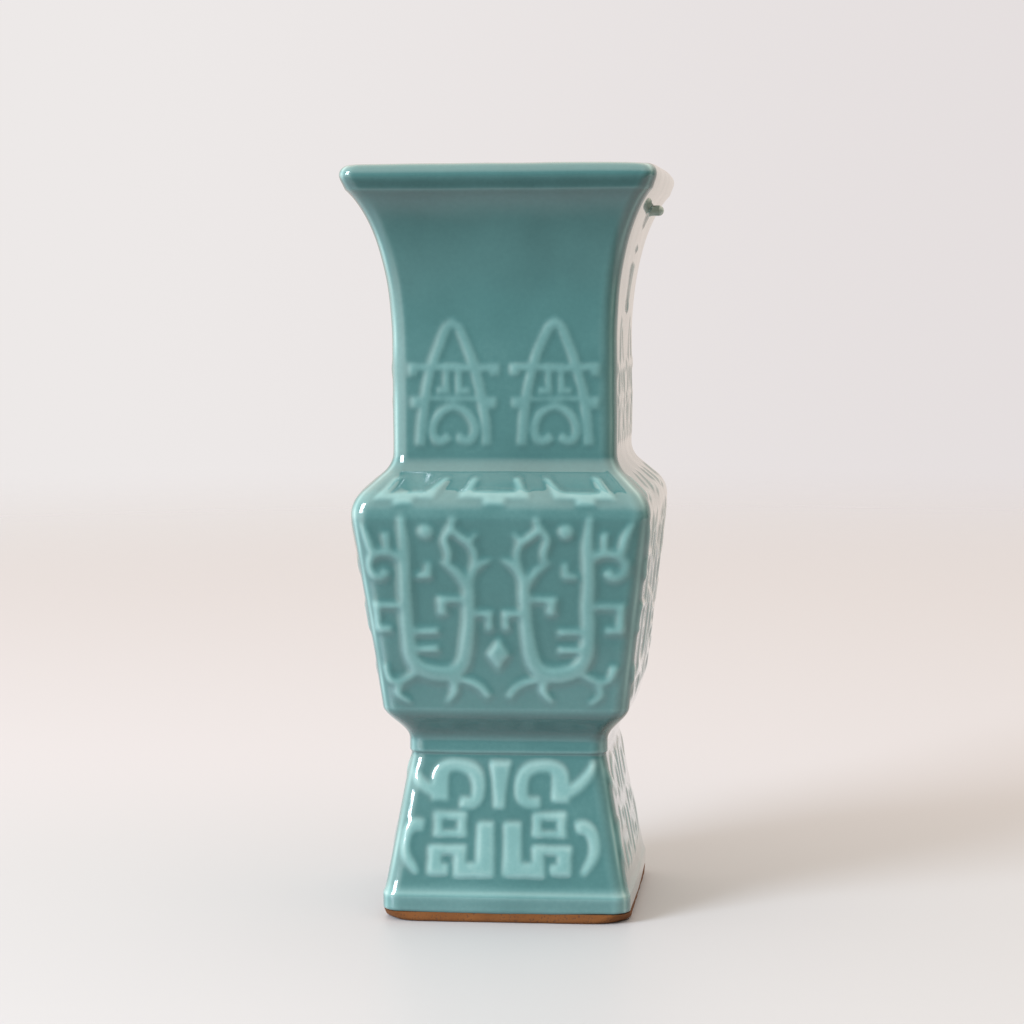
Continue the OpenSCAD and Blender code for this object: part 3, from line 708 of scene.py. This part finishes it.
pendant = both_sides([strip([[2.2, 19, 1], [2, 13, 1.1], [0, 7, 0.9]]), block(-0.5, 8, 0.5, 19),
    strip([[2, 32.8, 1], [1.8, 30.2, 1.1], [0, 27.4, 1]])], 0) + [
    np.array([[0.95 * math.cos(a), 22.3 + 0.95 * math.sin(a)] for a in np.radians(range(0, 360, 30))])]
neck_leaves = sprigs(leaves, neck_low, 1, 7, 400)
neck_pendants = sprigs(pendant, flare_low, 0.8, 2, 500, faces=(FACES["right"], FACES["left"]))

turns = np.linspace(0, flare_turn, 40)
neck_skin = glazed_skin(even_rows([[neck_out, neck_low]] + [flare(a) for a in turns], row_pitch), corner,
    (neck_leaves, leaf_relief, 0.11), (neck_pendants, 0.4 * mm, 0.16))
neck_inside = round_the_vase(even_rows([[neck_out - wall, neck_low]] + [flare(a, wall) for a in turns],
    1.2 * mm), 2.5 * mm, COARSE)[0]
course_of_slabs("neck_wall", neck_skin, neck_inside,
    lambda side: sprig_nodes("neck") + (sprig_nodes("pendant") if side in ("right", "left") else []))


# ---- The mouth roll ----
# A roll of clay luted round the mouth over the ends of the neck walls and sponged round. The glaze
# runs over it unbroken.

lip_r = 2.6 * mm
lip_painted_shade = 0.1  # painted shade: the roll's glaze is coloured a little deeper than on the flat walls, to darken its lit top
mouth_corner = 3.6 * mm
lip_out, lip_top = half_width("mouth_roll"), top("mouth_roll")
bead_mid = [lip_out - lip_r, lip_top - lip_r]
roll_path = [flare(flare_turn), *arc(bead_mid, lip_r, -38, 200, 44), flare(flare_turn, wall)]
roll_rows = sponged(roll_path, 0.26 * mm, 20)
roll_corner = np.interp(roll_rows[1], [roll_rows[1].min(), bead_mid[1]], [corner, mouth_corner])[:, None]
roll_skin, roll_plain = glazed_skin(roll_rows, roll_corner)
meet(roll_skin)
# painted shade over the whole roll, given as less paleness
roll_plain -= lip_painted_shade
mouth_roll = ring_piece("mouth_roll_glazed", roll_skin, None, glaze_finish)
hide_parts("mouth_roll")
courses.append((roll_skin, roll_plain, [(mouth_roll, None)]))


# ---- The studs of the side pendants ----
# A small ball of clay pressed on under the mouth on each side face, with a pin of the same clay behind.

stud_r = 1.3 * mm
stud_low, stud_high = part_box("pendant_studs")
stud_up = (stud_low.z + stud_high.z) / 2
stud_out = stud_high.x
stud_profile = [[stud_r * math.sin(turn), stud_out - stud_r * (1 - math.cos(turn))]
    for turn in np.radians(np.linspace(0, 90, 12))[1:]]
stud_profile += [[stud_r, stud_out - 2.2 * stud_r], [stud_r * 1.25, stud_out - 3.2 * stud_r]]
spin = np.radians(np.arange(0, 360, 10))
for side, way in [("right", 1), ("left", -1)]:
    clay = Clay()
    clay.depth = 0.06  # the glaze drains thin off a ball, and the ball is coloured paler still as painted light
    grid = np.array([[[way * out, way * reach * math.cos(s), stud_up + reach * math.sin(s)] for s in spin]
        for reach, out in reversed(stud_profile)])
    number = clay.lay(grid, outward(grid), wrapped=True)
    clay.joints.append(number[-1, :-1].tolist())
    clay.joints.append(number[0, :-1][::-1].tolist())
    clay.fire("pendant_stud_" + side, glaze_finish)
    fired.append(clay)
    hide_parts("pendant_studs")


# ---- The glaze coat ----
# The whole vase is dipped once, so the glaze runs unbroken over every joint. It thins over edges and
# raised ornament, where the pale clay shows through, and pools deep in the hollows beside them. Its colour
# is also darkened as painted shade where a surface faces down.

# how deep the glaze lies on a flat, what a ridge or a hollow adds, how wide an arris is and how much it
# thins there, and how much painted shade darkens it where a surface faces down
flat_depth, ridge_thin, hollow_deep = 0.62, -0.14, 0.04
arris_w, arris_thin, down_shade = 0.6 * mm, 0.35, 0.3
stacked = np.concatenate([skin for skin, _, _ in courses])
same = np.r_[False, np.linalg.norm(np.diff(stacked, axis=0), axis=-1).max(1) < 0.001 * mm]
whole = stacked[~same]
paleness = np.concatenate([pale for _, pale, _ in courses])[~same]
row_of = np.cumsum(~same) - 1
whole_normals = soften(outward(whole), 4)
whole_normals /= np.linalg.norm(whole_normals, axis=-1, keepdims=True)
hollow = ((soften(whole, 14) - whole) * whole_normals).sum(-1)
arris = np.exp(-(to_arris(whole) / arris_w) ** 2) * (0.75 + 0.25 * wobble(whole, 14 * mm, 21))
# painted shade: surfaces that face down are coloured darker, as though the glaze lay deeper there
facing_down_shade = np.clip(-whole_normals[..., 2], 0, 1)
pool = flat_depth + np.clip(hollow / (1 * mm), ridge_thin, hollow_deep)
pool = pool - arris_thin * arris + down_shade * facing_down_shade
pool = np.clip(pool - soften(paleness, 3), 0, 1)
start = 0
for skin, _, cut in courses:
    rows = row_of[start : start + len(skin)]
    start += len(skin)
    for clay, columns in cut:
        take = np.arange(skin.shape[1]) if columns is None else columns
        part = np.ix_(rows, take)
        count = len(rows) * len(take)
        clay.normals[:count] = whole_normals[part].reshape(-1, 3)
        clay.pool = pool[part].ravel()
for clay in fired:
    mesh = clay.piece.data
    depth = np.full(len(mesh.vertices), clay.depth)
    depth[: len(clay.pool)] = clay.pool
    mesh.attributes.new("pool", "FLOAT", "POINT").data.foreach_set("value", depth)
    clay.set_normals()


# ---- The table, the light and the camera ----
# A pale table top that runs into a pale room, a soft window high on the left and a little in front, and a
# white curtain low on the left. The room is dim in front, behind the camera, which the glaze reflects.

pale, dim, under = colour(237, 233, 232), colour(104, 97, 88), colour(150, 143, 135)
warm, warm_high, shade = colour(225, 214, 206), colour(250, 236, 222), colour(228, 222, 222)
high_glow, curtain_glow = 0.68, 1.0
up, down = (0, 0, 1), (0, 0, -1)
left, front_right, behind = (-0.95, -0.3, 0), (0.68, -0.72, -0.2), (0.35, 0.94, 0)
room = Finish(bpy.data.worlds.new("room"), "Background")
bpy.context.scene.world = room.material
towards = room.add("TexCoord", {}, {}, "Generated")


def lobe(direction, start, end):
    """Where the room is seen towards a direction, from 0 at one cosine to 1 at another."""
    along = room.add("VectorMath", {"operation": "DOT_PRODUCT"}, {0: towards, 1: direction}, "Value")
    return room.add("MapRange", {"interpolation_type": "SMOOTHSTEP"}, {0: along, 1: start, 2: end})


high = lobe(up, 0.25, 0.8)
low_room = (1 - lobe(up, 0.1, 0.4)) * (1 - lobe(down, 0.3, 0.6))
dim_side = lobe(front_right, 0.2, 0.6) * (1 - lobe(up, 0.15, 0.5))
curtain = lobe(left, 0.35, 0.7) * low_room
seen = room.add("LightPath", {}, {}, "Is Camera Ray")
dim_tint = room.blend(lobe(down, 0.1, 0.45), dim, under)
unseen_tint = room.blend(high, room.blend(dim_side, warm, dim_tint), warm_high)
room.dress(Color=room.blend(seen, unseen_tint, room.blend(lobe(behind, 0.8, 1), pale, shade)),
    Strength=1.0 + (high_glow * high + curtain_glow * curtain) * (1 - seen))

floor_mesh = bpy.data.meshes.new("table_top")
span = 6.0
floor_mesh.from_pydata([(-span, -span, 0), (span, -span, 0), (span, span, 0), (-span, span, 0)], [],
    [(0, 1, 2, 3)])
table_top = bpy.data.objects.new("table_top", floor_mesh)
bpy.context.scene.collection.objects.link(table_top)
paper = Finish(bpy.data.materials.new("table_top"))
paper.dress(Roughness=0.45, Specular_IOR_Level=0.4, Normal=paper.bump(paper.noise(2 * mm, 2), 0.01 * mm))
place = paper.add("TexCoord", {}, {}, "Object")
from_middle = paper.add("VectorMath", {"operation": "LENGTH"}, {0: place}, "Value")
depth_way = paper.add("SeparateXYZ", {}, {0: place}, "Y")


def rising(value, start, end):
    return paper.add("MapRange", {"interpolation_type": "SMOOTHSTEP"}, {0: value, 1: start, 2: end})


# Painted light: the top is coloured a little lighter from the vase backwards, as a sweep turning up to the
# light would look.
paper.dress(Base_Color=paper.blend(rising(depth_way, 0.0, 0.2), colour(182, 184, 187), colour(189, 189, 193)))
unseen = 1 - paper.add("LightPath", {}, {}, "Is Camera Ray")
# The top runs out into the room. For light and reflections it ends sooner, and well before the front.
gone_unseen = paper.add("Math", {"operation": "MAXIMUM"}, {0: rising(from_middle, 0.35, 0.7),
    1: rising(depth_way, -0.09, -0.22)})
gone = paper.add("Math", {"operation": "MAXIMUM"}, {0: rising(from_middle, 0.5, 1.5),
    1: gone_unseen * unseen})
open_room = paper.add("BsdfTransparent", {}, {})
top_and_room = paper.add("MixShader", {}, {0: gone, 1: Wire(paper, paper.surface.outputs[0]), 2: open_room})
paper.put(paper.nodes["Material Output"], 0, top_and_room)
floor_mesh.materials.append(paper.material)

window = bpy.data.lights.new("window", "AREA")
window.shape, window.size, window.size_y = "RECTANGLE", 0.55, 0.8
window.energy, window.color = 27.5, (0.81, 0.9, 1)
window_place, window_aim = (-0.95, -0.86, 0.66), (0, 0, 0.09)
lamp = bpy.data.objects.new("window", window)
bpy.context.scene.collection.objects.link(lamp)
lamp.location = window_place
lamp.rotation_mode = "QUATERNION"
lamp.rotation_quaternion = Vector(np.array(window_aim) - window_place).to_track_quat("-Z", "Y")

camera_data = bpy.data.cameras.new("camera")
camera_data.lens, camera_data.sensor_width = 92.15, 36
camera_data.shift_x = -0.0653
camera_data.clip_start, camera_data.clip_end = 0.05, 20
camera = bpy.data.objects.new("camera", camera_data)
bpy.context.scene.collection.objects.link(camera)
camera.location = (0.07603, -0.63909, 0.15399)
yaw, pitch, roll = (math.radians(a) for a in (-5.42, 5.173, 0.2685))
forward = np.array([math.sin(yaw) * math.cos(pitch), math.cos(yaw) * math.cos(pitch), -math.sin(pitch)])
level = np.array([math.cos(yaw), -math.sin(yaw), 0])
drop = np.cross(forward, level)
right = math.cos(roll) * level + math.sin(roll) * drop
low = -math.sin(roll) * level + math.cos(roll) * drop
camera.rotation_mode = "QUATERNION"
camera.rotation_quaternion = Matrix([right, -low, -forward]).transposed().to_quaternion()
bpy.context.scene.camera = camera
bpy.context.scene.view_settings.view_transform = "Standard"
